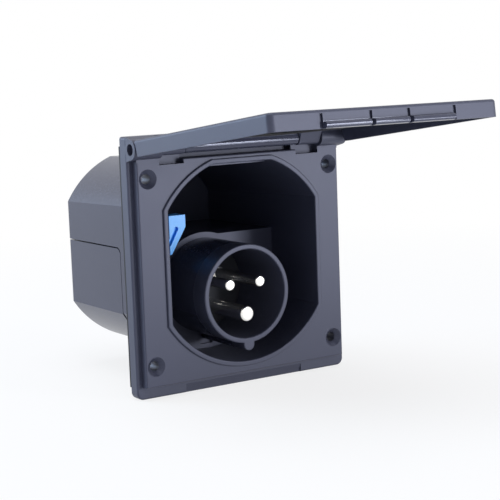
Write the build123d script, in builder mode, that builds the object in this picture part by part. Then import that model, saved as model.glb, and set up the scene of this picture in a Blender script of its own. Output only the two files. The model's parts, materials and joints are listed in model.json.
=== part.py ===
import os
from math import cos, radians, sin, tan

from build123d import *

# A recessed three-pin power inlet with a hinged lid, in millimetres.
# The front faces -Y and +Z is up. The origin is the middle of the four fixing holes,
# on the back face of the flange. The lid is drawn open, as it stands at rest.

# Opening in the flange, a circle cut by two side flats and a top flat
opening_radius = 45.4
opening_width = 76.4
opening_top = 42.85
lip_width = 2.2
lip_rise = 1.0
lip_edge = 0.5

# Flange frame: a rim with a raised front platform
frame_width = 109.2
side_rim = 2.75
bottom_rim = 5.5
top_land = 1.35
bottom_land = 2.8
rim_thickness = 5.3
platform_rise = 3.7
top_corner = 1.2
bottom_corner = 3.2
rim_edge = 0.8
platform_edge = 0.6
scoop_width = 61.0
scoop_height = 3.9
scoop_depth = 1.0

# Fixing holes, countersunk from the front
hole_side_inset = 5.05
hole_top_inset = 7.7
hole_bottom_inset = 8.9
hole_diameter = 4.4
sink_diameter = 8.5
sink_angle = 90.0

# Pot behind the flange
pot_wall = 1.8
pot_depth = 85.2
pot_draft = 1.0
pot_top_step = 1.4
rear_wall = 2.0
rear_edge = 2.5

# Shroud, bulkhead and shelf inside the pot
shroud_drop = 15.4
shroud_diameter = 44.0
shroud_wall = 2.25
shroud_proud = 1.1
shroud_edge = 0.5
key_width = 5.6
key_height = 3.5
bulkhead_depth = 26.5
bulkhead_thickness = 3.0
skirt_depth = 2.5
shelf_gap = 1.1
shelf_thickness = 2.3
arch_width = 2.5
barrel_wall = 2.0
barrel_length = 8.5
pocket_floor_drop = 7.0
pocket_wall = 1.6
parting_corner = 3.0
parting_gap = 0.6
seam = 0.3
recess_width = 6.4
recess_height = 4.8
recess_depth = 2.0

# Contact carrier and contacts
carrier_gap = 0.2
carrier_flange = 3.0
carrier_ear_reach = 29.0
boss_diameter = 7.0
contact_circle = 18.2
contact_angle = 30.0
contact_diameter = 5.0
earth_diameter = 7.0
contact_step = 0.5
contact_setback = 1.3
earth_setback = 0.6
contact_tip = 0.8
earth_tip = 1.0
contact_barrel = 8.0
earth_barrel = 10.0
shoulder_depth = 7.5
terminal_length = 16.0
wire_hole_diameter = 3.6
wire_hole_depth = 10.0
contact_fit = 0.05

# Screws
screw_diameter = 3.0
screw_head = 5.6
screw_head_height = 2.0
screw_head_edge = 0.2
screw_head_sink = 0.2
screw_slot = 0.8
screw_slot_depth = 0.9
screw_fit = 0.06
screw_length = 9.0
screw_end_gap = 1.0
terminal_screw_stand = 0.5
terminal_screw_gap = 0.9

# Terminal cover, its cable entry and strain relief
cover_inset = 0.1
cover_wall = 1.8
register_depth = 2.0
register_wall = 1.2
cover_boss_side = 28.0
cover_boss_length = 15.0
cover_pad = 2.2
cable_drop = 23.4
cable_diameter = 10.0
grommet_wall = 4.0
grommet_flange = 3.0
grommet_lip = 2.0
clamp_setback = 9.0
clamp_width = 8.0
clamp_thickness = 4.0
clamp_bridge = 2.4
clamp_split_drop = 1.0
clamp_post = 8.0
clamp_post_gap = 3.0
saddle_drop = 2.5

# Wall gasket
gasket_thickness = 1.2
gasket_gap = 0.4
gasket_top_margin = 4.1
gasket_bottom_margin = 5.1

# Hinge
hinge_rise = 5.1
hinge_setback = 0.1
ear_length = 13.6
ear_radius = 4.3
ear_cover = 1.0
notch_width = 12.0
notch_sink = 2.1
barrel_radius = 2.9
barrel_web = 3.2
barrel_groove = 3.8
knuckle_radius = 3.2
knuckle_gap = 0.5
knuckle_top_angle = 110.0
knuckle_root_angle = 217.0
knuckle_arm = 1.0
knuckle_arm_drop = 0.3
hinge_gap = 0.33
hinge_pin_diameter = 3.0
hinge_pin_edge = 0.3
hinge_pin_fit = 0.07
hinge_pin_bite = 4.0
pin_mouth_diameter = 5.0
pin_mouth_depth = 2.0

# Lid
lid_open_angle = 97.0
lid_wall = 2.1
lid_plate = 1.4
lid_side_gap = 0.35
lid_end_gap = 0.8
lid_rim_gap = 0.3
lid_corner = 2.5
lid_inner_corner = 1.6
lid_edge = 1.2
lid_end_slant = 14.4
seal_thickness = 0.95
seal_gap = 0.3
seal_margin = 1.0
grip_width = 63.4
grip_middle = 18.1
grip_notch = 1.9
grip_reach = 2.0
grip_height = 2.6
groove_width = 1.6
groove_depth = 0.9
groove_rise = 3.0

# Release lever
lever_inset = 7.2
lever_rise = 13.0
lever_front = 12.0
lever_thickness = 7.0
lever_step = 2.0
lever_step_side = 5.4
lever_boss = 4.0
lever_heel = 3.6
lever_heel_drop = 3.5
lever_reach = 13.7
lever_tab_top = 6.8
lever_tab_height = 5.4
lever_nose_drop = 10.8
lever_nose_side = 5.1
lever_nose_bevel = 1.3
lever_prong = 2.6
lever_pad_thickness = 1.5
lever_pad_overhang = 1.5
lever_corner = 0.6
lever_groove_side = 7.1
lever_groove_drop = 2.4
lever_groove_length = 9.5
lever_groove_width = 2.0
lever_groove_depth = 1.5
lever_groove_angle = 60.0
lug_thickness = 3.0
lug_height = 8.0
lever_gap = 0.3
latch_pin_diameter = 3.0
latch_pin_fit = 0.06
spring_wire = 0.6
spring_radius = 2.6
spring_pitch = 0.85
spring_coils = 3
spring_space = 4.4
spring_leg_angle = 20.0

# Places worked out from the sizes above
rim_y = -rim_thickness
platform_y = rim_y - platform_rise
lip_y = platform_y - lip_rise
platform_half = frame_width / 2 - side_rim
platform_top_reach = opening_top + lip_width + top_land
platform_bottom_reach = opening_radius + lip_width + bottom_land
upper_hole = platform_top_reach - hole_top_inset
lower_hole = platform_bottom_reach - hole_bottom_inset
hole_half_x = platform_half - hole_side_inset
hole_half_z = (upper_hole + lower_hole) / 2
opening_z = (lower_hole - upper_hole) / 2
platform_top = opening_z + platform_top_reach
platform_bottom = opening_z - platform_bottom_reach
hinge_y = platform_y + hinge_setback
hinge_z = platform_top + hinge_rise
frame_top = hinge_z + ear_radius + ear_cover
frame_bottom = platform_bottom - bottom_rim
wide = 2 * frame_width

shroud_z = opening_z - shroud_drop
shroud_radius = shroud_diameter / 2
shroud_y = platform_y - shroud_proud
bore_radius = shroud_radius - shroud_wall
shelf_top = shroud_z + shroud_radius + shelf_gap
shelf_bottom = shelf_top - shelf_thickness
bulkhead_back = bulkhead_depth + bulkhead_thickness
skirt_end = bulkhead_back + skirt_depth
arch_radius = shroud_radius + arch_width
barrel_bore = arch_radius - barrel_wall
barrel_end = bulkhead_back + barrel_length
pocket_floor = shelf_top - pocket_floor_drop
side_wall = opening_width / 2
pocket_left = side_wall + pot_wall - cover_inset - cover_wall - seam - pocket_wall
pilot_radius = screw_diameter / 2 + screw_fit


def wall_plane(depth, height=0.0):
    return Plane(origin=(0, depth, height), x_dir=(1, 0, 0), z_dir=(0, -1, 0))


def pot_section(grow):
    Circle(opening_radius + grow)
    height = opening_top + opening_radius + 2 * grow
    with Locations((0, (opening_top - opening_radius) / 2)):
        Rectangle(opening_width + 2 * grow, height, mode=Mode.INTERSECT)


def pot_form(wall, depth):
    # The pot behind the flange, narrowing a little towards the rear between its flats
    radius = opening_radius + wall
    top = opening_top + wall - pot_top_step
    with BuildPart() as form:
        with Locations(Location((0, depth / 2, opening_z), (-90, 0, 0))):
            Cone(radius, radius - pot_draft, depth)
        with Locations((0, depth / 2, opening_z + (top - radius) / 2)):
            Box(opening_width + 2 * wall, depth, top + radius, mode=Mode.INTERSECT)
    return form.part


def slab(low, high, mode=Mode.INTERSECT):
    with Locations((0, (low + high) / 2)):
        Rectangle(wide, high - low, mode=mode)


def rear_region(gap):
    # The part of the pot behind the skirt and below the shelf, seen from the side
    front = skirt_end + gap
    top = shelf_bottom - gap
    with Locations((front + wide / 2, top - wide / 2)):
        RectangleRounded(wide, wide, parting_corner)


def bar(near, far, low, high, front, back):
    # Box between two X values, two Z values and two Y values
    size = (far - near, back - front, high - low)
    with Locations(((near + far) / 2, (front + back) / 2, (low + high) / 2)):
        Box(*size)


# Housing: flange, pot, bulkhead, shelf, shroud and hinge strip in one moulding
ear_inner = frame_width / 2 - ear_length
barrel_half = ear_inner - notch_width
notch_bottom = platform_top - notch_sink
notch_back = hinge_y + knuckle_radius + knuckle_gap
ear_under = hinge_z - ear_radius - (rim_y - hinge_y) * tan(radians(lid_end_slant))
ear_tangent = 270 - lid_end_slant
lug_front = lever_front + lever_step - lever_gap - lug_thickness
lug_rear = lever_front + lever_thickness + spring_space
latch_x = lever_inset - side_wall
latch_z = opening_z + lever_rise
carrier_bosses = [(-carrier_ear_reach, shroud_z), (carrier_ear_reach, shroud_z)]
cover_boss_z = shelf_bottom - boss_diameter
cover_boss_end = pot_depth - rear_wall - cover_pad - seam
pot_outside = pot_form(pot_wall, pot_depth)
pot_inside = pot_form(0, pot_depth - rear_wall)

with BuildPart() as housing:
    with BuildSketch(wall_plane(0, (frame_top + frame_bottom) / 2)) as rim_outline:
        Rectangle(frame_width, frame_top - frame_bottom)
        fillet(rim_outline.vertices().group_by(Axis.Y)[0], bottom_corner)
        fillet(rim_outline.vertices().group_by(Axis.Y)[-1], top_corner)
    extrude(amount=rim_thickness)
    fillet(housing.faces().sort_by(Axis.Y)[0].edges(), rim_edge)

    with BuildSketch(wall_plane(rim_y, (platform_top + platform_bottom) / 2)):
        Rectangle(2 * platform_half, platform_top - platform_bottom)
    extrude(amount=platform_rise)
    fillet(housing.faces().sort_by(Axis.Y)[0].edges(), platform_edge)

    with BuildSketch(wall_plane(platform_y, opening_z)):
        pot_section(lip_width)
    extrude(amount=lip_rise)

    # Pot, hollow from the front
    add(pot_outside)
    fillet(housing.faces().sort_by(Axis.Y)[-1].edges(), rear_edge)
    add(pot_inside, mode=Mode.SUBTRACT)
    with BuildSketch(wall_plane(0, opening_z)):
        pot_section(0)
    extrude(amount=-lip_y, mode=Mode.SUBTRACT)
    fillet(housing.faces().sort_by(Axis.Y)[0].edges(), lip_edge)

    # The lower rear is open, for the terminal cover
    with BuildSketch(Plane.YZ):
        rear_region(0)
    extrude(amount=wide, both=True, mode=Mode.SUBTRACT)

    # Shelf and bulkhead that part the recess from the terminals
    with BuildSketch(wall_plane(pot_depth - rear_wall, 0)):
        with Locations((0, opening_z)):
            Circle(opening_radius + pot_wall)
        slab(shelf_bottom, shelf_top)
        Rectangle(opening_width + pot_wall, wide, mode=Mode.INTERSECT)
    extrude(amount=pot_depth - rear_wall - bulkhead_depth)
    with BuildSketch(wall_plane(bulkhead_back, opening_z)):
        pot_section(pot_wall / 2)
        slab(-wide, shelf_top - opening_z)
        with Locations((0, shroud_z - opening_z)):
            Circle(arch_radius)
    extrude(amount=bulkhead_thickness)

    # Barrel behind the bulkhead and the lever's pocket beside it
    with BuildSketch(wall_plane(barrel_end, shroud_z)):
        Circle(arch_radius)
        slab(-wide, shelf_top - shroud_z)
    extrude(amount=barrel_length)
    bar(-pocket_left - pocket_wall, 0, pocket_floor - pocket_wall, shelf_top, bulkhead_depth, barrel_end)
    with BuildSketch(wall_plane(barrel_end - pocket_wall, shroud_z)):
        with Locations((-pocket_left / 2, (pocket_floor + arch_radius) / 2)):
            Rectangle(pocket_left, arch_radius - pocket_floor)
        slab(pocket_floor - shroud_z, arch_radius)
        Circle(arch_radius, mode=Mode.SUBTRACT)
    extrude(amount=barrel_end - pocket_wall - bulkhead_depth, mode=Mode.SUBTRACT)

    # Shroud with its key rib, and the seat of the contact carrier
    with BuildSketch(wall_plane(bulkhead_back, shroud_z)):
        Circle(shroud_radius)
        with Locations((0, -shroud_radius - key_height + key_width / 2)):
            Circle(key_width / 2)
        with Locations((0, -shroud_radius - (key_height - key_width / 2) / 2 + shroud_wall / 2)):
            Rectangle(key_width, key_height - key_width / 2 + shroud_wall)
    extrude(amount=bulkhead_back - shroud_y)
    with BuildSketch(wall_plane(bulkhead_back, shroud_z)):
        Circle(bore_radius)
    extrude(amount=bulkhead_back - shroud_y, mode=Mode.SUBTRACT)
    with BuildSketch(wall_plane(barrel_end, shroud_z)):
        Circle(barrel_bore)
        slab(-wide, shelf_bottom - shroud_z)
    extrude(amount=barrel_length, mode=Mode.SUBTRACT)
    fillet(housing.faces().sort_by(Axis.Y)[0].edges(), shroud_edge)

    # Small moulded recess low on the bulkhead
    with BuildSketch(wall_plane(bulkhead_depth, opening_z - opening_radius + recess_height)):
        Rectangle(recess_width, recess_height)
    extrude(amount=-recess_depth, mode=Mode.SUBTRACT)

    # Bosses for the carrier screws and for the cover screws
    with BuildSketch(wall_plane(barrel_end)):
        with Locations(*carrier_bosses):
            Circle(boss_diameter / 2)
    extrude(amount=barrel_length)
    with BuildSketch(wall_plane(barrel_end)):
        with Locations(*carrier_bosses):
            Circle(pilot_radius)
    extrude(amount=screw_length, mode=Mode.SUBTRACT)
    with BuildSketch(wall_plane(cover_boss_end)):
        with Locations((-cover_boss_side, cover_boss_z), (cover_boss_side, cover_boss_z)):
            Circle(boss_diameter / 2)
        for side in (-1, 1):
            with Locations((side * cover_boss_side, (cover_boss_z + shelf_bottom) / 2)):
                Rectangle(boss_diameter, shelf_bottom - cover_boss_z)
    extrude(amount=cover_boss_length)
    with BuildSketch(wall_plane(cover_boss_end)):
        with Locations((-cover_boss_side, cover_boss_z), (cover_boss_side, cover_boss_z)):
            Circle(pilot_radius)
    extrude(amount=screw_length, mode=Mode.SUBTRACT)

    # Lugs on the left wall that carry the lever's pin
    for front in (lug_front, lug_rear):
        bar(-side_wall - pot_wall / 2, latch_x + lever_boss - seam,
            latch_z - lug_height / 2, latch_z + lug_height / 2, front, front + lug_thickness)
    with BuildSketch(wall_plane(lug_rear + lug_thickness, latch_z)):
        with Locations((latch_x, 0)):
            Circle(latch_pin_diameter / 2)
    extrude(amount=lug_rear + lug_thickness - lug_front, mode=Mode.SUBTRACT)

    # Hinge strip: two notches for the lid's knuckles, a middle barrel over a groove, and two end ears
    for side in (-1, 1):
        middle = side * (barrel_half + notch_width / 2)
        with Locations((middle, (notch_back - wide) / 2, (notch_bottom + wide) / 2)):
            Box(notch_width, wide + notch_back, wide - notch_bottom, mode=Mode.SUBTRACT)
    web_bottom = hinge_z - barrel_web / 2
    with Locations((0, rim_y + barrel_groove / 2, (platform_top + web_bottom) / 2)):
        Box(2 * barrel_half, barrel_groove, web_bottom - platform_top, mode=Mode.SUBTRACT)
    with BuildSketch(Plane.YZ.offset(-barrel_half)):
        with Locations((hinge_y, hinge_z)):
            Circle(barrel_radius)
        with Locations(((hinge_y + notch_back) / 2, hinge_z)):
            Rectangle(notch_back - hinge_y, barrel_web)
    extrude(amount=2 * barrel_half)
    for side in (-1, 1):
        with BuildSketch(Plane.YZ.offset(side * ear_inner)):
            with Locations((hinge_y, hinge_z)):
                Circle(ear_radius)
            tangent_y = hinge_y + ear_radius * cos(radians(ear_tangent))
            tangent_z = hinge_z + ear_radius * sin(radians(ear_tangent))
            Polygon((hinge_y, hinge_z + ear_radius), (tangent_y, tangent_z), (rim_y, ear_under),
                    (notch_back, ear_under), (notch_back, frame_top), align=None)
        extrude(amount=side * ear_length)
        foot = sorted((side * ear_inner, side * platform_half))
        bar(foot[0], foot[1], platform_top - platform_edge, hinge_z, platform_y, rim_y)

    # Hinge pin holes with a wider mouth at the ear's end
    for side in (-1, 1):
        with BuildSketch(Plane.YZ.offset(side * (barrel_half - hinge_pin_bite))):
            with Locations((hinge_y, hinge_z)):
                Circle(hinge_pin_diameter / 2)
        extrude(amount=side * frame_width, mode=Mode.SUBTRACT)
        with BuildSketch(Plane.YZ.offset(side * (frame_width / 2 - pin_mouth_depth))):
            with Locations((hinge_y, hinge_z)):
                Circle(pin_mouth_diameter / 2)
        extrude(amount=side * frame_width, mode=Mode.SUBTRACT)

    # Finger scoop in the bottom rim, under the lid's grip
    with BuildSketch(Plane.YZ.offset(-scoop_width / 2)):
        scoop_top = frame_bottom + scoop_height
        scoop_under = frame_bottom - bottom_rim
        scoop_back = rim_y + scoop_depth
        Polygon((rim_y, scoop_top), (platform_y, scoop_top), (platform_y, scoop_under),
                (scoop_back, scoop_under), (scoop_back, frame_bottom), align=None)
    extrude(amount=scoop_width, mode=Mode.SUBTRACT)

    with Locations(wall_plane(platform_y)):
        with GridLocations(2 * hole_half_x, 2 * hole_half_z, 2, 2):
            CounterSinkHole(hole_diameter / 2, sink_diameter / 2, platform_rise + rim_thickness, sink_angle)
housing.part.label = "housing"

# Gasket between the flange and the wall
gasket_top = frame_top - gasket_top_margin
gasket_bottom = frame_bottom + gasket_bottom_margin
with BuildPart() as wall_gasket:
    with BuildSketch(wall_plane(gasket_thickness, (gasket_top + gasket_bottom) / 2)):
        Rectangle(frame_width, gasket_top - gasket_bottom)
    extrude(amount=gasket_thickness)
    with BuildSketch(wall_plane(gasket_thickness, opening_z)):
        pot_section(pot_wall + gasket_gap)
    extrude(amount=gasket_thickness, mode=Mode.SUBTRACT)
    with BuildSketch(wall_plane(gasket_thickness)):
        with GridLocations(2 * hole_half_x, 2 * hole_half_z, 2, 2):
            Circle(hole_diameter / 2 + gasket_gap)
    extrude(amount=gasket_thickness, mode=Mode.SUBTRACT)
wall_gasket.part.label = "wall_gasket"

# Lid, drawn in its own plane: X across, Y up the closed lid from the hinge axis, Z out of its face
lid_turn = radians(lid_open_angle)
lid_out = (0, -cos(lid_turn), sin(lid_turn))
lid_plane = Plane(origin=(0, hinge_y, hinge_z), x_dir=(1, 0, 0), z_dir=lid_out)
seal_face = hinge_setback + lip_rise + seal_gap
plate_inner = seal_face + seal_thickness
plate_outer = plate_inner + lid_plate
skirt_edge = lid_rim_gap - (rim_y - hinge_y)
lid_half = platform_half + lid_side_gap + lid_wall
lid_end = platform_bottom - lid_end_gap - lid_wall - hinge_z
slant = radians(lid_end_slant)
hinge_clear = ear_radius + hinge_gap


def lid_at(along, out):
    origin = lid_plane.from_local_coords((0, along, out))
    return Plane(origin=origin, x_dir=lid_plane.x_dir, z_dir=lid_plane.z_dir)


def lid_side(across):
    # Side view of the lid: X along it, Y out of its face
    origin = lid_plane.from_local_coords((across, 0, 0))
    return Plane(origin=origin, x_dir=lid_plane.y_dir, z_dir=(1, 0, 0))


def hinge_end(out):
    return (out * sin(slant) - hinge_clear) / cos(slant)


def on_knuckle(angle):
    return (knuckle_radius * cos(radians(angle)), knuckle_radius * sin(radians(angle)))


groove_places = [-grip_width / 2, -grip_middle / 2, grip_middle / 2, grip_width / 2]
knuckle_length = notch_width - 2 * knuckle_gap

with BuildPart() as lid:
    with BuildSketch(lid_at(lid_end / 2, skirt_edge)) as lid_outline:
        Rectangle(2 * lid_half, -lid_end)
        fillet(lid_outline.vertices().group_by(Axis.Y)[0], lid_corner)
    extrude(amount=plate_outer - skirt_edge)
    outer_face = lid.faces().sort_by(Axis(lid_plane.origin, lid_plane.z_dir))[-1]
    fillet(outer_face.edges(), lid_edge)
    with BuildSketch(lid_at(lid_end + lid_wall - lid_end / 2, skirt_edge)) as lid_hollow:
        Rectangle(2 * (lid_half - lid_wall), -lid_end)
        fillet(lid_hollow.vertices().group_by(Axis.Y)[0], lid_inner_corner)
    extrude(amount=plate_inner - skirt_edge, mode=Mode.SUBTRACT)

    # Slanted end that swings past the ears
    with BuildSketch(lid_side(-wide / 2)):
        reach = plate_outer + ear_radius
        Polygon((hinge_end(reach), reach), (hinge_end(-reach), -reach),
                (reach, -reach), (reach, reach), align=None)
    extrude(amount=wide, mode=Mode.SUBTRACT)

    # Knuckles that hang into the notches
    for side in (-1, 1):
        start = side * barrel_half + (knuckle_gap if side > 0 else -knuckle_gap - knuckle_length)
        with BuildSketch(lid_side(start)):
            Circle(knuckle_radius)
            arm = hinge_end(plate_inner) - knuckle_arm
            Polygon((arm, plate_inner), (arm, plate_inner + lid_plate / 2),
                    (hinge_end(plate_outer), plate_outer - knuckle_arm_drop), on_knuckle(knuckle_top_angle),
                    (0, 0), on_knuckle(knuckle_root_angle), align=None)
        extrude(amount=knuckle_length)
        with BuildSketch(lid_side(start)):
            Circle(hinge_pin_diameter / 2 + hinge_pin_fit)
        extrude(amount=knuckle_length, mode=Mode.SUBTRACT)

    # Finger grip: round-nosed lip in parts along the free end, with grooves beside each part
    for start, end in zip(groove_places, groove_places[1:]):
        with BuildSketch(lid_side(start + grip_notch / 2)):
            nose = lid_end - grip_reach + grip_height / 2
            with Locations((nose, skirt_edge + grip_height / 2)):
                Circle(grip_height / 2)
            with Locations(((nose + lid_end + lid_wall) / 2, skirt_edge + grip_height / 2)):
                Rectangle(lid_end + lid_wall - nose, grip_height)
        extrude(amount=end - start - grip_notch)
    for place in groove_places:
        with BuildSketch(lid_side(place - groove_width / 2)):
            with Locations((lid_end, skirt_edge + (grip_height + groove_rise) / 2)):
                Rectangle(2 * groove_depth, grip_height + groove_rise)
        extrude(amount=groove_width, mode=Mode.SUBTRACT)
lid.part.label = "lid"

with BuildPart() as lid_seal:
    with BuildSketch(lid_at(opening_z - hinge_z, seal_face)):
        pot_section(lip_width + seal_margin)
    extrude(amount=seal_thickness)
    with BuildSketch(lid_at(opening_z - hinge_z, seal_face)):
        pot_section(-seal_margin)
    extrude(amount=seal_thickness, mode=Mode.SUBTRACT)
lid_seal.part.label = "lid_seal"


def hinge_pin(side):
    inner = barrel_half - hinge_pin_bite
    outer = frame_width / 2 - pin_mouth_depth
    with BuildPart() as pin:
        with BuildSketch(Plane.YZ.offset(side * inner)):
            with Locations((hinge_y, hinge_z)):
                Circle(hinge_pin_diameter / 2)
        extrude(amount=side * (outer - inner))
        chamfer(pin.edges().filter_by(GeomType.CIRCLE), hinge_pin_edge)
    return pin.part


hinge_pin_left = hinge_pin(-1)
hinge_pin_left.label = "hinge_pin_left"
hinge_pin_right = hinge_pin(1)
hinge_pin_right.label = "hinge_pin_right"

# Contact carrier, put in from behind, and the three contacts in it
contact_radius = contact_circle / 2
contact_across = contact_radius * cos(radians(contact_angle))
contact_up = contact_radius * sin(radians(contact_angle))
line_place = (-contact_across, contact_up)
neutral_place = (contact_across, contact_up)
earth_place = (0, -contact_radius)
carrier_back = barrel_end + carrier_flange
shoulder_y = bulkhead_depth + shoulder_depth
terminal_end = carrier_back + terminal_length
screw_y = terminal_end - wire_hole_depth / 2

with BuildPart() as contact_carrier:
    with BuildSketch(wall_plane(bulkhead_back, shroud_z)):
        Circle(bore_radius - carrier_gap)
    extrude(amount=bulkhead_thickness)
    with BuildSketch(wall_plane(barrel_end, shroud_z)):
        Circle(barrel_bore - carrier_gap)
        slab(-wide, shelf_bottom - shroud_z - seam)
    extrude(amount=barrel_length)
    with BuildSketch(wall_plane(carrier_back, shroud_z)):
        Circle(arch_radius)
        SlotOverall(2 * carrier_ear_reach + boss_diameter, boss_diameter)
        slab(-wide, shelf_bottom - shroud_z - seam)
    extrude(amount=carrier_flange)
    with BuildSketch(wall_plane(carrier_back, shroud_z)):
        with Locations((-carrier_ear_reach, 0), (carrier_ear_reach, 0)):
            Circle(pilot_radius)
    extrude(amount=carrier_flange, mode=Mode.SUBTRACT)
    for place, size, back_size in ((line_place, contact_diameter, contact_barrel),
                                   (neutral_place, contact_diameter, contact_barrel),
                                   (earth_place, earth_diameter, earth_barrel)):
        with BuildSketch(wall_plane(carrier_back, shroud_z)):
            with Locations(place):
                Circle(size / 2 + contact_step + contact_fit)
        extrude(amount=carrier_back - bulkhead_depth, mode=Mode.SUBTRACT)
        with BuildSketch(wall_plane(carrier_back, shroud_z)):
            with Locations(place):
                Circle(back_size / 2 + contact_fit)
        extrude(amount=carrier_back - shoulder_y, mode=Mode.SUBTRACT)
contact_carrier.part.label = "contact_carrier"


def contact(place, size, back_size, tip_y, tip_round, turn):
    # Round pin, a thicker neck in the carrier, and a terminal barrel drilled for the wire and its screw
    x = place[0]
    z = shroud_z + place[1]
    with BuildPart() as pin:
        with BuildSketch(wall_plane(bulkhead_depth, z)):
            with Locations((x, 0)):
                Circle(size / 2)
        extrude(amount=bulkhead_depth - tip_y)
        fillet(pin.edges().sort_by(Axis.Y)[0], tip_round)
        with BuildSketch(wall_plane(shoulder_y, z)):
            with Locations((x, 0)):
                Circle(size / 2 + contact_step)
        extrude(amount=shoulder_y - bulkhead_depth)
        with BuildSketch(wall_plane(terminal_end, z)):
            with Locations((x, 0)):
                Circle(back_size / 2)
        extrude(amount=terminal_end - shoulder_y)
        with BuildSketch(wall_plane(terminal_end, z)):
            with Locations((x, 0)):
                Circle(wire_hole_diameter / 2)
        extrude(amount=wire_hole_depth, mode=Mode.SUBTRACT)
        with BuildSketch(Plane(origin=(x, screw_y, z), x_dir=(0, 1, 0), z_dir=turn)):
            Circle(pilot_radius)
        extrude(amount=back_size, mode=Mode.SUBTRACT)
    return pin.part


contact_y = shroud_y + contact_setback
earth_y = shroud_y + earth_setback
leftwards = (-1, 0, 0)
rightwards = (1, 0, 0)
downwards = (0, 0, -1)
line_pin = contact(line_place, contact_diameter, contact_barrel, contact_y, contact_tip, leftwards)
line_pin.label = "line_pin"
neutral_pin = contact(neutral_place, contact_diameter, contact_barrel, contact_y, contact_tip, rightwards)
neutral_pin.label = "neutral_pin"
earth_pin = contact(earth_place, earth_diameter, earth_barrel, earth_y, earth_tip, downwards)
earth_pin.label = "earth_pin"


def slotted_screw(seat, outward, length):
    # Cheese head on its seat with a slot, and a plain shank going in from it
    with BuildPart(mode=Mode.PRIVATE) as screw:
        plane = Plane(origin=seat, z_dir=outward)
        with BuildSketch(plane):
            Circle(screw_head / 2)
        extrude(amount=screw_head_height)
        chamfer(screw.edges().filter_by(GeomType.CIRCLE), screw_head_edge)
        with BuildSketch(plane):
            Circle(screw_diameter / 2)
        extrude(amount=-length)
        with BuildSketch(plane.offset(screw_head_height - screw_slot_depth)):
            Rectangle(screw_head, screw_slot)
        extrude(amount=screw_slot_depth, mode=Mode.SUBTRACT)
    return screw.part


terminal_seats = []
for place, back_size, outward in ((line_place, contact_barrel, leftwards),
                                  (neutral_place, contact_barrel, rightwards),
                                  (earth_place, earth_barrel, downwards)):
    reach = back_size / 2 + terminal_screw_stand
    seat = (place[0] + outward[0] * reach, screw_y, shroud_z + place[1] + outward[2] * reach)
    terminal_seats.append((seat, outward, reach - terminal_screw_gap))
terminal_screws = Compound([slotted_screw(*entry) for entry in terminal_seats])
terminal_screws.label = "terminal_screws"

backwards = (0, 1, 0)
upwards = (0, 0, 1)
carrier_shank = carrier_flange + screw_length - screw_end_gap
carrier_screws = Compound([
    slotted_screw((x, carrier_back, z), backwards, carrier_shank)
    for x, z in carrier_bosses])
carrier_screws.label = "carrier_screws"

# Terminal cover: the lower rear shell, with its screws, grommet and strain relief
cover_grow = pot_wall - cover_inset
cover_inner = cover_grow - cover_wall
register_gap = seam + pot_draft / 2
cable_z = opening_z - cable_drop
cable_radius = cable_diameter / 2
grommet_seat = cable_radius + grommet_wall
clamp_side = cable_radius + clamp_post_gap + clamp_post / 2
clamp_front = pot_depth - rear_wall - clamp_setback - clamp_width
clamp_y = clamp_front + clamp_width / 2
clamp_seat = cable_z - clamp_split_drop
clamp_top = clamp_seat + clamp_thickness
saddle_top = cable_z - saddle_drop
head_seat = pot_depth - screw_head_height - screw_head_sink
cover_places = [(-cover_boss_side, cover_boss_z), (cover_boss_side, cover_boss_z)]

with BuildPart() as terminal_cover:
    with BuildSketch(wall_plane(pot_depth, opening_z)):
        pot_section(cover_grow)
    extrude(amount=pot_depth - skirt_end + parting_corner)
    fillet(terminal_cover.faces().sort_by(Axis.Y)[-1].edges(), rear_edge)
    with BuildSketch(wall_plane(pot_depth - rear_wall, opening_z)):
        pot_section(cover_inner)
    extrude(amount=pot_depth - rear_wall, mode=Mode.SUBTRACT)
    with BuildSketch(Plane.YZ.offset(-wide / 2)):
        rear_region(parting_gap)
    extrude(amount=wide, mode=Mode.INTERSECT)

    # Register lip that slides into the housing's skirt, on a collar inside the shell
    for grow, length in ((-register_gap, 2 * register_depth),
                         (cover_inner + cover_wall / 2, register_depth - parting_gap)):
        with BuildSketch(wall_plane(skirt_end + register_depth, opening_z)):
            pot_section(grow)
            slab(-wide, pocket_floor - opening_z - 2 * pocket_wall)
        extrude(amount=length)
    with BuildSketch(wall_plane(skirt_end + register_depth, opening_z)):
        pot_section(-register_gap - register_wall)
    extrude(amount=2 * register_depth, mode=Mode.SUBTRACT)

    # Pads behind the cover screws
    with BuildSketch(wall_plane(pot_depth - rear_wall)):
        with Locations(*cover_places):
            Circle(boss_diameter / 2)
    extrude(amount=cover_pad)
    with BuildSketch(wall_plane(pot_depth)):
        with Locations(*cover_places):
            Circle(pilot_radius)
    extrude(amount=rear_wall + cover_pad, mode=Mode.SUBTRACT)
    with BuildSketch(wall_plane(pot_depth)):
        with Locations(*cover_places):
            Circle(screw_head / 2 + carrier_gap)
    extrude(amount=pot_depth - head_seat, mode=Mode.SUBTRACT)

    # Cable hole, clamp posts and the saddle between them
    with BuildSketch(wall_plane(pot_depth, cable_z)):
        Circle(grommet_seat)
    extrude(amount=rear_wall, mode=Mode.SUBTRACT)
    with BuildSketch(Plane.XY.offset(clamp_seat)):
        with Locations((-clamp_side, clamp_y), (clamp_side, clamp_y)):
            Circle(clamp_post / 2)
    extrude(until=Until.NEXT, dir=(0, 0, -1))
    with BuildSketch(Plane.XY.offset(saddle_top)):
        with Locations((0, clamp_y)):
            Rectangle(2 * clamp_side, pocket_wall)
    extrude(until=Until.NEXT, dir=(0, 0, -1))
    with BuildSketch(wall_plane(clamp_front + clamp_width, cable_z)):
        Circle(cable_radius)
    extrude(amount=clamp_width, mode=Mode.SUBTRACT)
    with BuildSketch(Plane.XY.offset(clamp_seat)):
        with Locations((-clamp_side, clamp_y), (clamp_side, clamp_y)):
            Circle(pilot_radius)
    extrude(amount=-screw_length, mode=Mode.SUBTRACT)
terminal_cover.part.label = "terminal_cover"

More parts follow.
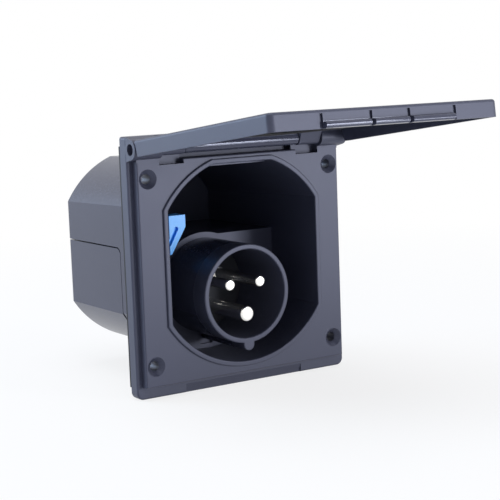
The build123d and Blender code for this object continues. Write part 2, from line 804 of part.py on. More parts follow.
cover_shank = head_seat - cover_boss_end + screw_length - screw_end_gap
cover_screws = Compound([
    slotted_screw((x, head_seat, z), backwards, cover_shank)
    for x, z in cover_places])
cover_screws.label = "cover_screws"

with BuildPart() as cable_grommet:
    with BuildSketch(wall_plane(pot_depth + grommet_lip, cable_z)):
        Circle(grommet_seat + grommet_flange)
    extrude(amount=grommet_lip)
    chamfer(cable_grommet.edges().sort_by(Axis.Y)[-1], grommet_lip / 2)
    with BuildSketch(wall_plane(pot_depth, cable_z)):
        Circle(grommet_seat)
    extrude(amount=rear_wall)
    with BuildSketch(wall_plane(pot_depth - rear_wall, cable_z)):
        Circle(grommet_seat + grommet_flange / 2)
    extrude(amount=grommet_lip)
    with BuildSketch(wall_plane(pot_depth + grommet_lip, cable_z)):
        Circle(cable_radius)
    extrude(amount=rear_wall + 2 * grommet_lip, mode=Mode.SUBTRACT)
cable_grommet.part.label = "cable_grommet"

with BuildPart() as cord_clamp:
    with BuildSketch(wall_plane(clamp_front + clamp_width, 0)):
        with Locations((0, clamp_seat + clamp_thickness / 2)):
            Rectangle(2 * clamp_side + clamp_post, clamp_thickness)
        with Locations((0, cable_z)):
            Circle(cable_radius + clamp_bridge)
        slab(clamp_seat, wide)
        with Locations((0, cable_z)):
            Circle(cable_radius, mode=Mode.SUBTRACT)
    extrude(amount=clamp_width)
    with BuildSketch(Plane.XY.offset(clamp_seat)):
        with Locations((-clamp_side, clamp_y), (clamp_side, clamp_y)):
            Circle(pilot_radius)
    extrude(amount=clamp_thickness, mode=Mode.SUBTRACT)
cord_clamp.part.label = "cord_clamp"

clamp_shank = clamp_thickness + screw_length - screw_end_gap
cord_clamp_screws = Compound([
    slotted_screw((x, clamp_y, clamp_top), upwards, clamp_shank)
    for x in (-clamp_side, clamp_side)])
cord_clamp_screws.label = "cord_clamp_screws"

# Release lever on its pin, with the return spring behind it
lever_back = lever_front + lever_thickness
with BuildPart() as latch_lever:
    with BuildSketch(wall_plane(lever_back, latch_z)) as lever_outline:
        with Locations((latch_x, 0)):
            Circle(lever_boss)
            Polygon((-lever_heel, lever_tab_top), (lever_reach, lever_tab_top),
                    (lever_reach, lever_tab_top - lever_tab_height),
                    (lever_nose_side + lever_nose_bevel, lever_nose_bevel / 2 - lever_nose_drop),
                    (lever_nose_side, -lever_nose_drop),
                    (lever_nose_side - lever_prong, lever_prong - lever_nose_drop),
                    (lever_heel, -lever_heel_drop), (0, 0), (-lever_boss, 0), align=None)
        fillet(lever_outline.vertices().sort_by(Axis.X)[-2:], lever_corner)
    extrude(amount=lever_thickness)
    with BuildSketch(wall_plane(lever_front, latch_z)):
        with Locations((latch_x + lever_groove_side, -lever_groove_drop)):
            SlotOverall(lever_groove_length, lever_groove_width, rotation=lever_groove_angle)
    extrude(amount=-lever_groove_depth, mode=Mode.SUBTRACT)
    bar(latch_x + lever_step_side, latch_x + lever_reach,
        latch_z + lever_tab_top - lever_pad_thickness, latch_z + lever_tab_top,
        lever_front, lever_back + lever_pad_overhang)
    with BuildSketch(wall_plane(lever_front + lever_step)):
        with Locations((latch_x + lever_step_side - wide / 2, 0)):
            Rectangle(wide, wide)
    extrude(amount=lever_step, mode=Mode.SUBTRACT)
    with BuildSketch(wall_plane(lever_back, latch_z)):
        with Locations((latch_x, 0)):
            Circle(latch_pin_diameter / 2 + latch_pin_fit)
    extrude(amount=lever_thickness, mode=Mode.SUBTRACT)
latch_lever.part.label = "latch_lever"

with BuildPart() as latch_pin:
    with BuildSketch(wall_plane(lug_rear + lug_thickness, latch_z)):
        with Locations((latch_x, 0)):
            Circle(latch_pin_diameter / 2)
    extrude(amount=lug_rear + lug_thickness - lug_front)
latch_pin.part.label = "latch_pin"

spring_turn = radians(90 + spring_leg_angle)
spring_height = (spring_coils - spring_leg_angle / 360) * spring_pitch
spring_y = lever_back + (spring_space - spring_height) / 2
spring_start = (cos(spring_turn), 0, sin(spring_turn))
spring_plane = Plane(origin=(latch_x, spring_y, latch_z), x_dir=spring_start, z_dir=backwards)
pad_under = lever_tab_top - lever_pad_thickness - spring_wire
lever_leg = (pad_under - spring_radius * sin(spring_turn)) / sin(radians(spring_leg_angle))
wall_leg = lever_inset - spring_wire
with BuildPart() as spring_form:
    with BuildLine():
        coil = Helix(spring_pitch, spring_height, spring_radius, lefthand=True)
        Line(coil @ 0 - coil % 0 * lever_leg, coil @ 0)
        Line(coil @ 1, coil @ 1 + coil % 1 * wall_leg)
    with BuildSketch(Plane(origin=coil @ 0 - coil % 0 * lever_leg, z_dir=coil % 0)):
        Circle(spring_wire / 2)
    sweep()
latch_spring = spring_form.part.moved(spring_plane.location)
latch_spring.label = "latch_spring"

pieces = [housing.part, wall_gasket.part, lid.part, lid_seal.part, hinge_pin_left, hinge_pin_right,
          contact_carrier.part, line_pin, neutral_pin, earth_pin, terminal_screws, carrier_screws,
          terminal_cover.part, cover_screws, cable_grommet.part, cord_clamp.part, cord_clamp_screws,
          latch_lever.part, latch_pin.part, latch_spring]
os.makedirs("parts", exist_ok=True)
for piece in pieces:
    export_step(piece, f"parts/{piece.label}.step")
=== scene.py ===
import json
import math

import bpy
from mathutils import Matrix, Vector

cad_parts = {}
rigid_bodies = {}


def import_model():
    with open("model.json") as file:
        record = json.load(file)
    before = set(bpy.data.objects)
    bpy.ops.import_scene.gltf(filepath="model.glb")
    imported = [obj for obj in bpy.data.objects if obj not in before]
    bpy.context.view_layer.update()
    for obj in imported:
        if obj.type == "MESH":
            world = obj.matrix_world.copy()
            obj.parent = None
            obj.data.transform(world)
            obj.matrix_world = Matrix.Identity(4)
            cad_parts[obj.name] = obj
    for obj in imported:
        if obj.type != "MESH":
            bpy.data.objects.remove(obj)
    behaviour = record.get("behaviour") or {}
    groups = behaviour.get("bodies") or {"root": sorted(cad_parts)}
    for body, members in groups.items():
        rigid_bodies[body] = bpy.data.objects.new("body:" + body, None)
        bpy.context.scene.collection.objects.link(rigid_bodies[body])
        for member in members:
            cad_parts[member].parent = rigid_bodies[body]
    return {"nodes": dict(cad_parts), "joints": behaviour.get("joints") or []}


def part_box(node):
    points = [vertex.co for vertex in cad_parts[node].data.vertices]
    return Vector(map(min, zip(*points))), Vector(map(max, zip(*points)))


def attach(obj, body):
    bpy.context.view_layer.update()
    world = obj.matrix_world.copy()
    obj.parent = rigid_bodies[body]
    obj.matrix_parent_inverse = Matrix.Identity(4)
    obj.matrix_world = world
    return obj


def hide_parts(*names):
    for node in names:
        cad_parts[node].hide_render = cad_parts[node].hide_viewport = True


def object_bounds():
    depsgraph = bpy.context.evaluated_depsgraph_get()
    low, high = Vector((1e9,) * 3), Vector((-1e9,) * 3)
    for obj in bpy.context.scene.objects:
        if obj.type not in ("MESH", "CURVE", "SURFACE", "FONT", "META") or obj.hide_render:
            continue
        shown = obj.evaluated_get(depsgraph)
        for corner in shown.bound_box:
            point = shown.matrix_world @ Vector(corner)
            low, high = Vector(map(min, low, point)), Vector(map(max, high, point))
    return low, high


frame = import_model()
cadLow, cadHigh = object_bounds()
nodes = frame["nodes"]
mm = 0.001
print("frame loaded,", len(nodes), "nodes")


def deselectAll():
    if bpy.context.object and bpy.context.object.mode != "OBJECT":
        bpy.ops.object.mode_set(mode="OBJECT")
    bpy.ops.object.select_all(action="DESELECT")


def makeActive(piece):
    deselectAll()
    piece.select_set(True)
    bpy.context.view_layer.objects.active = piece


def applyModifier(piece, kind, **values):
    makeActive(piece)
    modifier = piece.modifiers.new(kind.lower(), kind)
    for name, value in values.items():
        setattr(modifier, name, value)
    bpy.ops.object.modifier_apply(modifier=modifier.name)


# Shader helpers

def newMaterial(name):
    material = bpy.data.materials.new(name)
    material.use_nodes = True
    tree = material.node_tree
    tree.nodes.clear()
    output = tree.nodes.new("ShaderNodeOutputMaterial")
    shader = tree.nodes.new("ShaderNodeBsdfPrincipled")
    tree.links.new(shader.outputs["BSDF"], output.inputs["Surface"])
    return material, tree, shader


def addNode(tree, kind, values=None, **links):
    node = tree.nodes.new(kind)
    for name, value in (values or {}).items():
        if name in node.inputs:
            node.inputs[name].default_value = value
        else:
            setattr(node, name, value)
    for name, source in links.items():
        tree.links.new(source, node.inputs[name.replace("_", " ")])
    return node


def newGroup(name, inputs, outputs):
    group = bpy.data.node_groups.new(name, "ShaderNodeTree")
    for socket, kind, value in inputs:
        made = group.interface.new_socket(name=socket, in_out="INPUT", socket_type=kind)
        made.default_value = value
    for socket, kind in outputs:
        group.interface.new_socket(name=socket, in_out="OUTPUT", socket_type=kind)
    start = group.nodes.new("NodeGroupInput")
    end = group.nodes.new("NodeGroupOutput")
    return group, start, end


def mixColour(tree, factor, first, second):
    mix = tree.nodes.new("ShaderNodeMix")
    mix.data_type = "RGBA"
    for socket, value in ((mix.inputs[0], factor), (mix.inputs[6], first), (mix.inputs[7], second)):
        if isinstance(value, tuple):
            socket.default_value = (*value, 1.0)
        else:
            tree.links.new(value, socket)
    return mix.outputs[2]


def mapRange(tree, value, low, high):
    node = addNode(tree, "ShaderNodeMapRange", {"To Min": low, "To Max": high}, Value=value)
    return node.outputs["Result"]


grainSettings = {
    "grainDetail": 3.0, "grainRough": 0.55, "flowDetail": 4.0, "flowRough": 0.6, "flowTwist": 0.6,
    "upFrom": 0.2, "speckScale": 900.0, "speckDetail": 2.0, "speckFrom": 0.52, "speckFull": 0.72,
}


def makeMouldGrain():
    # Fine spark grain of a steel mould, with slow flow marks and a faint bloom of dust
    group, start, end = newGroup(
        "mouldGrain",
        [("Grain Scale", "NodeSocketFloat", 2600.0), ("Flow Scale", "NodeSocketFloat", 42.0)],
        [("Grain", "NodeSocketFloat"), ("Flow", "NodeSocketFloat"), ("Bloom", "NodeSocketFloat")])
    place = group.nodes.new("ShaderNodeTexCoord")
    grain = addNode(group, "ShaderNodeTexNoise",
                    {"Detail": grainSettings["grainDetail"], "Roughness": grainSettings["grainRough"]},
                    Vector=place.outputs["Object"], Scale=start.outputs["Grain Scale"])
    flow = addNode(group, "ShaderNodeTexNoise",
                   {"Detail": grainSettings["flowDetail"], "Roughness": grainSettings["flowRough"],
                    "Distortion": grainSettings["flowTwist"]},
                   Vector=place.outputs["Object"], Scale=start.outputs["Flow Scale"])
    shape = group.nodes.new("ShaderNodeNewGeometry")
    split = addNode(group, "ShaderNodeSeparateXYZ", Vector=shape.outputs["Normal"])
    upward = addNode(group, "ShaderNodeMapRange", {"From Min": grainSettings["upFrom"], "From Max": 1.0},
                     Value=split.outputs["Z"])
    specks = addNode(group, "ShaderNodeTexNoise",
                     {"Scale": grainSettings["speckScale"], "Detail": grainSettings["speckDetail"]},
                     Vector=place.outputs["Object"])
    few = addNode(group, "ShaderNodeMapRange",
                  {"From Min": grainSettings["speckFrom"], "From Max": grainSettings["speckFull"]},
                  Value=specks.outputs["Fac"])
    bloom = addNode(group, "ShaderNodeMath", {"operation": "MULTIPLY"})
    group.links.new(upward.outputs["Result"], bloom.inputs[0])
    group.links.new(few.outputs["Result"], bloom.inputs[1])
    group.links.new(grain.outputs["Fac"], end.inputs["Grain"])
    group.links.new(flow.outputs["Fac"], end.inputs["Flow"])
    group.links.new(bloom.outputs["Value"], end.inputs["Bloom"])
    return group


turningSettings = {"ringTwist": 0.4, "ringDetail": 1.0, "smearScale": 160.0, "smearDetail": 3.0}


def makeTurning():
    # Rings left by a lathe tool along Y
    group, start, end = newGroup(
        "latheTurning",
        [("Pitch Scale", "NodeSocketFloat", 900.0)],
        [("Rings", "NodeSocketFloat"), ("Smear", "NodeSocketFloat")])
    place = group.nodes.new("ShaderNodeTexCoord")
    rings = addNode(group, "ShaderNodeTexWave",
                    {"bands_direction": "Y", "Distortion": turningSettings["ringTwist"],
                     "Detail": turningSettings["ringDetail"]},
                    Vector=place.outputs["Object"], Scale=start.outputs["Pitch Scale"])
    smear = addNode(group, "ShaderNodeTexNoise",
                    {"Scale": turningSettings["smearScale"], "Detail": turningSettings["smearDetail"]},
                    Vector=place.outputs["Object"])
    group.links.new(rings.outputs["Fac"], end.inputs["Rings"])
    group.links.new(smear.outputs["Fac"], end.inputs["Smear"])
    return group


def makePolishBand():
    # Marks the surface close to an axis along X, where the mould is polished
    group, start, end = newGroup(
        "polishBand",
        [("Centre", "NodeSocketVector", (0.0, 0.0, 0.0)), ("Radius", "NodeSocketFloat", 3.0 * mm),
         ("Half Length", "NodeSocketFloat", 30.0 * mm)],
        [("Polish", "NodeSocketFloat")])
    place = group.nodes.new("ShaderNodeTexCoord")
    shift = addNode(group, "ShaderNodeVectorMath", {"operation": "SUBTRACT"})
    group.links.new(place.outputs["Object"], shift.inputs[0])
    group.links.new(start.outputs["Centre"], shift.inputs[1])
    split = addNode(group, "ShaderNodeSeparateXYZ", Vector=shift.outputs["Vector"])
    across = addNode(group, "ShaderNodeCombineXYZ", Y=split.outputs["Y"], Z=split.outputs["Z"])
    reach = addNode(group, "ShaderNodeVectorMath", {"operation": "LENGTH"})
    group.links.new(across.outputs["Vector"], reach.inputs[0])
    near = addNode(group, "ShaderNodeMath", {"operation": "LESS_THAN"})
    group.links.new(reach.outputs["Value"], near.inputs[0])
    group.links.new(start.outputs["Radius"], near.inputs[1])
    along = addNode(group, "ShaderNodeMath", {"operation": "ABSOLUTE"})
    group.links.new(split.outputs["X"], along.inputs[0])
    within = addNode(group, "ShaderNodeMath", {"operation": "LESS_THAN"})
    group.links.new(along.outputs["Value"], within.inputs[0])
    group.links.new(start.outputs["Half Length"], within.inputs[1])
    both = addNode(group, "ShaderNodeMath", {"operation": "MULTIPLY"})
    group.links.new(near.outputs["Value"], both.inputs[0])
    group.links.new(within.outputs["Value"], both.inputs[1])
    group.links.new(both.outputs["Value"], end.inputs["Polish"])
    return group


def makeRearOutside():
    # Marks the outside behind the flange, which faces away from the middle of the wall opening
    group, _, end = newGroup("rearOutside", [], [("Rear", "NodeSocketFloat")])
    place = group.nodes.new("ShaderNodeTexCoord")
    split = addNode(group, "ShaderNodeSeparateXYZ", Vector=place.outputs["Object"])
    turned = addNode(group, "ShaderNodeVectorMath", {"operation": "DOT_PRODUCT"})
    group.links.new(place.outputs["Object"], turned.inputs[0])
    group.links.new(place.outputs["Normal"], turned.inputs[1])
    signs = []
    for source in (split.outputs["Y"], turned.outputs["Value"]):
        sign = addNode(group, "ShaderNodeMath", {"operation": "GREATER_THAN"})
        group.links.new(source, sign.inputs[0])
        sign.inputs[1].default_value = 0.0
        signs.append(sign.outputs["Value"])
    both = addNode(group, "ShaderNodeMath", {"operation": "MULTIPLY"})
    group.links.new(signs[0], both.inputs[0])
    group.links.new(signs[1], both.inputs[1])
    group.links.new(both.outputs["Value"], end.inputs["Rear"])
    return group


mouldGrain = makeMouldGrain()
latheTurning = makeTurning()
polishBand = makePolishBand()
rearOutside = makeRearOutside()


def useGroup(tree, group, **values):
    node = tree.nodes.new("ShaderNodeGroup")
    node.node_tree = group
    for name, value in values.items():
        node.inputs[name.replace("_", " ")].default_value = value
    return node


def bumpFrom(tree, shader, height, strength, distance):
    bump = addNode(tree, "ShaderNodeBump", {"Strength": strength, "Distance": distance}, Height=height)
    tree.links.new(bump.outputs["Normal"], shader.inputs["Normal"])


flowShare = (0.25, 0.75)  # part of the way from dark to light that the flow marks reach


def mouldedPlastic(name, settings, polish=None):
    material, tree, shader = newMaterial(name)
    grain = useGroup(tree, mouldGrain, Grain_Scale=settings["grainScale"], Flow_Scale=settings["flowScale"])
    flow = mapRange(tree, grain.outputs["Flow"], flowShare[0], flowShare[1])
    colour = mixColour(tree, flow, settings["dark"], settings["light"])
    dusted = mixColour(tree, grain.outputs["Bloom"], colour, settings["dust"])
    tree.links.new(dusted, shader.inputs["Base Color"])
    rough = mapRange(tree, grain.outputs["Flow"], settings["rough"][0], settings["rough"][1])
    if "rear" in settings:
        rear = useGroup(tree, rearOutside)
        smoother = addNode(tree, "ShaderNodeMapRange", {"To Max": settings["rear"]},
                           Value=rear.outputs["Rear"], To_Min=rough)
        rough = smoother.outputs["Result"]
    if polish:
        band = useGroup(tree, polishBand, Centre=polish["centre"], Radius=polish["radius"],
                        Half_Length=polish["halfLength"])
        smoothed = addNode(tree, "ShaderNodeMapRange", {"To Max": polish["rough"]},
                           Value=band.outputs["Polish"], To_Min=rough)
        rough = smoothed.outputs["Result"]
    tree.links.new(rough, shader.inputs["Roughness"])
    shader.inputs["IOR"].default_value = settings["ior"]
    shader.inputs["Specular Tint"].default_value = (*settings["tint"], 1.0)
    bumpFrom(tree, shader, grain.outputs["Grain"], settings["bump"], settings["bumpDepth"])
    return material


def turnedMetal(name, settings):
    material, tree, shader = newMaterial(name)
    turning = useGroup(tree, latheTurning, Pitch_Scale=settings["pitchScale"])
    colour = mixColour(tree, turning.outputs["Smear"], settings["dark"], settings["light"])
    tree.links.new(colour, shader.inputs["Base Color"])
    shader.inputs["Metallic"].default_value = 1.0
    rough = mapRange(tree, turning.outputs["Smear"], settings["rough"][0], settings["rough"][1])
    tree.links.new(rough, shader.inputs["Roughness"])
    bumpFrom(tree, shader, turning.outputs["Rings"], settings["bump"], settings["bumpDepth"])
    return material


shellSettings = {
    "dark": (0.034, 0.0365, 0.057), "light": (0.046, 0.049, 0.076), "dust": (0.07, 0.074, 0.10),
    "grainScale": 2600.0, "flowScale": 42.0, "rough": (0.42, 0.50), "rear": 0.26, "ior": 1.55,
    "tint": (0.74, 0.785, 1.0), "bump": 0.12, "bumpDepth": 0.05 * mm,
}
carrierSettings = {
    "dark": (0.018, 0.018, 0.021), "light": (0.024, 0.024, 0.028), "dust": (0.05, 0.05, 0.055),
    "grainScale": 1800.0, "flowScale": 60.0, "rough": (0.45, 0.58), "ior": 1.5, "tint": (0.8, 0.86, 1.0),
    "bump": 0.2, "bumpDepth": 0.06 * mm,
}
leverSettings = {
    "dark": (0.035, 0.36, 0.93), "light": (0.055, 0.41, 0.98), "dust": (0.15, 0.46, 0.98),
    "grainScale": 3000.0, "flowScale": 90.0, "rough": (0.28, 0.36), "ior": 1.5, "tint": (1.0, 1.0, 1.0),
    "bump": 0.08, "bumpDepth": 0.04 * mm,
}
rubberSettings = {
    "dark": (0.012, 0.012, 0.014), "light": (0.020, 0.020, 0.022), "dust": (0.06, 0.06, 0.062),
    "grainScale": 1400.0, "flowScale": 120.0, "rough": (0.62, 0.8), "ior": 1.45, "tint": (1.0, 1.0, 1.0),
    "bump": 0.35, "bumpDepth": 0.08 * mm,
}
pinSettings = {
    "dark": (0.80, 0.79, 0.76), "light": (0.90, 0.89, 0.87), "pitchScale": 700.0,
    "rough": (0.12, 0.22), "bump": 0.05, "bumpDepth": 0.02 * mm,
}
steelSettings = {
    "dark": (0.50, 0.50, 0.52), "light": (0.66, 0.66, 0.66), "pitchScale": 500.0,
    "rough": (0.28, 0.45), "bump": 0.1, "bumpDepth": 0.02 * mm,
}

barrelPolish = {
    "centre": (0.0, -8.9 * mm, 52.9 * mm), "radius": 3.2 * mm, "halfLength": 30.0 * mm, "rough": 0.07,
}
gripPolish = {
    "centre": (0.0, -113.85 * mm, 63.78 * mm), "radius": 1.6 * mm, "halfLength": 32.0 * mm, "rough": 0.07,
}

blackShell = mouldedPlastic("blackShell", shellSettings)
housingShell = mouldedPlastic("housingShell", shellSettings, barrelPolish)
lidShell = mouldedPlastic("lidShell", shellSettings, gripPolish)
carrierPlastic = mouldedPlastic("carrierPlastic", carrierSettings)
leverBlue = mouldedPlastic("leverBlue", leverSettings)
gasketRubber = mouldedPlastic("gasketRubber", rubberSettings)
platedPin = turnedMetal("platedPin", pinSettings)
zincSteel = turnedMetal("zincSteel", steelSettings)

finishOf = {
    "housing": housingShell, "lid": lidShell, "terminal_cover": blackShell,
    "contact_carrier": carrierPlastic, "cord_clamp": carrierPlastic, "latch_lever": leverBlue,
    "line_pin": platedPin, "neutral_pin": platedPin, "earth_pin": platedPin,
    "terminal_screws": zincSteel, "carrier_screws": zincSteel, "cover_screws": zincSteel,
    "cord_clamp_screws": zincSteel, "hinge_pin_left": zincSteel, "hinge_pin_right": zincSteel,
    "latch_pin": zincSteel, "latch_spring": zincSteel,
    "wall_gasket": gasketRubber, "lid_seal": gasketRubber, "cable_grommet": gasketRubber,
}
for name, node in nodes.items():
    node.data.materials.clear()
    node.data.materials.append(finishOf[name])
print("finishes given to", len(finishOf), "nodes")

# Soft pieces, which take the places of the plain solids
softSettings = {"flatAngle": 0.4, "seam": 0.002 * mm}


def finishSoft(piece, node, body, smooth):
    makeActive(piece)
    bpy.ops.object.shade_smooth_by_angle(angle=math.radians(smooth))
    piece.data.materials.clear()
    piece.data.materials.append(gasketRubber)
    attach(piece, body)
    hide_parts(node)


def weldedCopy(node, name, weld):
    # A copy of a solid's mesh, welded, with its flat faces whole again
    makeActive(nodes[node])
    bpy.ops.object.duplicate()
    bpy.ops.object.parent_clear(type="CLEAR_KEEP_TRANSFORM")
    piece = bpy.context.object
    piece.name = name
    for key in list(piece.keys()):
        del piece[key]
    bpy.ops.mesh.customdata_custom_splitnormals_clear()
    bpy.ops.object.mode_set(mode="EDIT")
    bpy.ops.mesh.select_all(action="SELECT")
    bpy.ops.mesh.remove_doubles(threshold=weld)
    bpy.ops.mesh.dissolve_limited(angle_limit=math.radians(softSettings["flatAngle"]))
    bpy.ops.object.mode_set(mode="OBJECT")
    return piece


def turnedRing(name, centre, profile, sides):
    # Turns a closed profile of (radius, place along Y) pairs round an axis along Y
    deselectAll()
    bpy.ops.object.add(type="MESH", enter_editmode=True)
    piece = bpy.context.object
    piece.name = name
    radius, place = profile[0]
    bpy.ops.mesh.primitive_circle_add(vertices=sides, radius=radius, location=(centre.x, place, centre.z),
                                      rotation=(math.radians(90.0), 0.0, 0.0))
    for nextRadius, nextPlace in profile[1:] + profile[:1]:
        bpy.ops.mesh.extrude_region_move(TRANSFORM_OT_translate={"value": (0.0, nextPlace - place, 0.0)})
        growth = nextRadius / radius
        bpy.ops.transform.resize(value=(growth, 1.0, growth), center_override=(centre.x, nextPlace, centre.z))
        radius, place = nextRadius, nextPlace
    bpy.ops.mesh.select_all(action="SELECT")
    bpy.ops.mesh.remove_doubles(threshold=softSettings["seam"])
    bpy.ops.mesh.normals_make_consistent(inside=False)
    bpy.ops.object.mode_set(mode="OBJECT")
    return piece


sheetSettings = {"weld": 0.001 * mm, "edge": 0.3 * mm, "segments": 3, "sharp": 40.0}


def makeWallGasket():
    piece = weldedCopy("wall_gasket", "wallGasketSheet", sheetSettings["weld"])
    applyModifier(piece, "BEVEL", width=sheetSettings["edge"], segments=sheetSettings["segments"],
                  limit_method="ANGLE", angle_limit=math.radians(sheetSettings["sharp"]))
    finishSoft(piece, "wall_gasket", "inlet", sheetSettings["sharp"])


sealSettings = {"weld": 0.001 * mm, "edgeShare": 0.42, "segments": 5, "sharp": 40.0}


def makeLidSeal():
    low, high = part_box("lid_seal")
    piece = weldedCopy("lid_seal", "lidSealBead", sealSettings["weld"])
    joint = next(entry for entry in frame["joints"] if entry["child"] == "lid")
    lean = math.radians(joint["range_deg"][1] - 90.0)
    size = high - low
    thickness = (size.z * math.cos(lean) - size.y * math.sin(lean)) / math.cos(2 * lean)
    applyModifier(piece, "BEVEL", width=thickness * sealSettings["edgeShare"],
                  segments=sealSettings["segments"], limit_method="ANGLE",
                  angle_limit=math.radians(sealSettings["sharp"]))
    finishSoft(piece, "lid_seal", "lid", sealSettings["sharp"])


grommetSettings = {
    "sharp": 35.0, "sides": 96, "bore": 5.0 * mm, "neckDrop": 3.0 * mm, "lipDrop": 1.5 * mm, "lip": 2.0 * mm,
    "round": 0.4 * mm, "slope": 2.2 * mm, "mouth": 0.8 * mm, "grooves": 3, "grooveDepth": 0.5 * mm,
    "grooveSteps": (0.2, 0.4, 0.6, 0.8),
}


def makeGrommet():
    low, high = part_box("cable_grommet")
    centre = (low + high) / 2
    flange = (high.x - low.x) / 2
    bore = grommetSettings["bore"]
    neck = flange - grommetSettings["neckDrop"]
    inner = flange - grommetSettings["lipDrop"]
    soft = grommetSettings["round"]
    front, seatFront = low.y, low.y + grommetSettings["lip"]
    seatBack, back = high.y - grommetSettings["lip"], high.y
    profile = [
        (bore + soft, front), (inner - soft, front), (inner, front + soft), (inner, seatFront),
        (neck, seatFront), (neck, seatBack), (flange - soft, seatBack), (flange, seatBack + soft),
        (flange, seatBack + 2 * soft), (flange - grommetSettings["slope"] / 2, back - soft / 2),
        (flange - grommetSettings["slope"], back), (bore + grommetSettings["mouth"], back),
        (bore + soft / 2, back - grommetSettings["mouth"] / 2), (bore, back - grommetSettings["mouth"])]
    pitch = (back - front - 2 * grommetSettings["mouth"]) / grommetSettings["grooves"]
    deep = bore + grommetSettings["grooveDepth"]
    for i in range(grommetSettings["grooves"]):
        top = back - grommetSettings["mouth"] - i * pitch
        for radius, step in zip((bore, deep, deep, bore), grommetSettings["grooveSteps"]):
            profile.append((radius, top - pitch * step))
    profile.append((bore, front + soft))
    piece = turnedRing("grommetBush", centre, profile, grommetSettings["sides"])
    finishSoft(piece, "cable_grommet", "inlet", grommetSettings["sharp"])


makeWallGasket()
makeLidSeal()
makeGrommet()
print("soft pieces made")

# Camera at the photograph's place
cameraSettings = {
    "place": (-0.3312, -0.5257, 0.0871), "turn": 32.88, "tilt": 7.59, "roll": 2.16,
    "lens": 101.3, "sensor": 36.0,
}


def makeCamera():
    turn = math.radians(cameraSettings["turn"])
    tilt = math.radians(cameraSettings["tilt"])
    roll = math.radians(cameraSettings["roll"])
    forward = Vector((math.sin(turn) * math.cos(tilt), math.cos(turn) * math.cos(tilt), -math.sin(tilt)))
    right = Vector((math.cos(turn), -math.sin(turn), 0.0))
    down = forward.cross(right)
    across = right * math.cos(roll) + down * math.sin(roll)
    below = down * math.cos(roll) - right * math.sin(roll)
    lens = bpy.data.cameras.new("studioCamera")
    lens.lens = cameraSettings["lens"]
    lens.sensor_width = cameraSettings["sensor"]
    camera = bpy.data.objects.new("studioCamera", lens)
    bpy.context.scene.collection.objects.link(camera)
    turned = Matrix((across, -below, -forward)).transposed().to_4x4()
    camera.matrix_world = Matrix.Translation(cameraSettings["place"]) @ turned
    bpy.context.scene.camera = camera


makeCamera()
print("camera set")

# Floor, world and lamps
floorSettings = {
    "size": 6.0, "drop": 0.2 * mm, "colour": (0.86, 0.87, 0.88), "rough": 0.9,
    "glow": 1.0, "near": 0.15, "far": 0.6, "nearShare": 0.8,
}
worldSettings = {"colour": (0.82, 0.85, 1.0), "strength": 0.42, "shown": 1.0}
lampSettings = [
    {"name": "keyLamp", "place": (0.42, -0.85, 0.10), "aim": (0.0, 0.0, 0.02), "size": 0.28, "power": 4.2,
     "colour": (1.0, 1.0, 1.0)},
    {"name": "cardLamp", "place": (0.24, -0.37, -0.05), "aim": (0.24, -0.37, 1.0), "size": 0.24, "power": 1.4,
     "colour": (1.0, 1.0, 1.0)},
    {"name": "rearLamp", "place": (-0.95, 1.0, 0.45), "aim": (0.0, 0.04, 0.0), "size": 0.9, "power": 15.0,
     "colour": (0.62, 0.80, 1.0)},
    {"name": "overheadLamp", "place": (-0.2, -0.1, 1.3), "aim": (0.0, 0.0, 0.0), "size": 1.0, "power": 10.0,
     "colour": (0.95, 0.97, 1.0)},
]


def whiteToCamera(tree, plain, shown):
    # The camera and mirror-like surfaces see plain white, other light sees the real surface
    path = tree.nodes.new("ShaderNodeLightPath")
    seen = addNode(tree, "ShaderNodeMath", {"operation": "MAXIMUM"})
    tree.links.new(path.outputs["Is Camera Ray"], seen.inputs[0])
    tree.links.new(path.outputs["Is Glossy Ray"], seen.inputs[1])
    both = addNode(tree, "ShaderNodeMath", {"operation": "MAXIMUM"})
    tree.links.new(seen.outputs["Value"], both.inputs[0])
    tree.links.new(path.outputs["Is Transmission Ray"], both.inputs[1])
    mix = tree.nodes.new("ShaderNodeMixShader")
    tree.links.new(both.outputs["Value"], mix.inputs[0])
    tree.links.new(plain, mix.inputs[1])
    tree.links.new(shown, mix.inputs[2])
    return mix.outputs["Shader"]


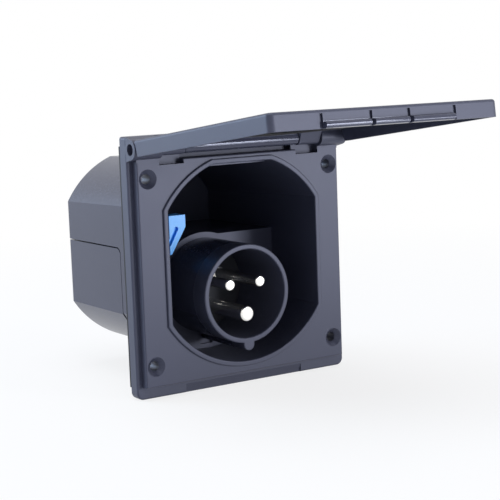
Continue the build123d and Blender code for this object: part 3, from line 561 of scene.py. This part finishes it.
def makeWorld():
    world = bpy.data.worlds.new("studioWorld")
    bpy.context.scene.world = world
    world.use_nodes = True
    tree = world.node_tree
    tree.nodes.clear()
    plain = addNode(tree, "ShaderNodeBackground",
                    {"Color": (*worldSettings["colour"], 1.0), "Strength": worldSettings["strength"]})
    shown = addNode(tree, "ShaderNodeBackground",
                    {"Color": (1.0, 1.0, 1.0, 1.0), "Strength": worldSettings["shown"]})
    output = tree.nodes.new("ShaderNodeOutputWorld")
    surface = whiteToCamera(tree, plain.outputs["Background"], shown.outputs["Background"])
    tree.links.new(surface, output.inputs["Surface"])


def makeFloor():
    deselectAll()
    bpy.ops.mesh.primitive_plane_add(size=floorSettings["size"],
                                     location=(0.0, 0.0, cadLow.z - floorSettings["drop"]))
    floor = bpy.context.object
    floor.name = "paleFloor"
    material, tree, shader = newMaterial("paleFloor")
    shader.inputs["Base Color"].default_value = (*floorSettings["colour"], 1.0)
    shader.inputs["Roughness"].default_value = floorSettings["rough"]
    glow = addNode(tree, "ShaderNodeEmission",
                   {"Color": (1.0, 1.0, 1.0, 1.0), "Strength": floorSettings["glow"]})
    shade = tree.nodes.new("ShaderNodeMixShader")
    # The shadow fades out with distance, so the floor meets the backdrop without a line
    place = tree.nodes.new("ShaderNodeTexCoord")
    away = addNode(tree, "ShaderNodeVectorMath", {"operation": "LENGTH"})
    tree.links.new(place.outputs["Object"], away.inputs[0])
    fade = addNode(tree, "ShaderNodeMapRange",
                   {"From Min": floorSettings["near"], "From Max": floorSettings["far"],
                    "To Min": floorSettings["nearShare"]}, Value=away.outputs["Value"])
    tree.links.new(fade.outputs["Result"], shade.inputs[0])
    tree.links.new(shader.outputs["BSDF"], shade.inputs[1])
    tree.links.new(glow.outputs["Emission"], shade.inputs[2])
    surface = whiteToCamera(tree, shader.outputs["BSDF"], shade.outputs["Shader"])
    tree.links.new(surface, tree.nodes["Material Output"].inputs["Surface"])
    floor.data.materials.append(material)


def makeLamps():
    for settings in lampSettings:
        data = bpy.data.lights.new(settings["name"], "AREA")
        data.energy = settings["power"]
        data.size = settings["size"]
        data.color = settings["colour"]
        lamp = bpy.data.objects.new(settings["name"], data)
        bpy.context.scene.collection.objects.link(lamp)
        place = Vector(settings["place"])
        lamp.location = place
        lamp.rotation_euler = (Vector(settings["aim"]) - place).to_track_quat("-Z", "Y").to_euler()


makeWorld()
makeFloor()
makeLamps()
bpy.context.scene.view_settings.view_transform = "Standard"
print("floor, world and lamps set")
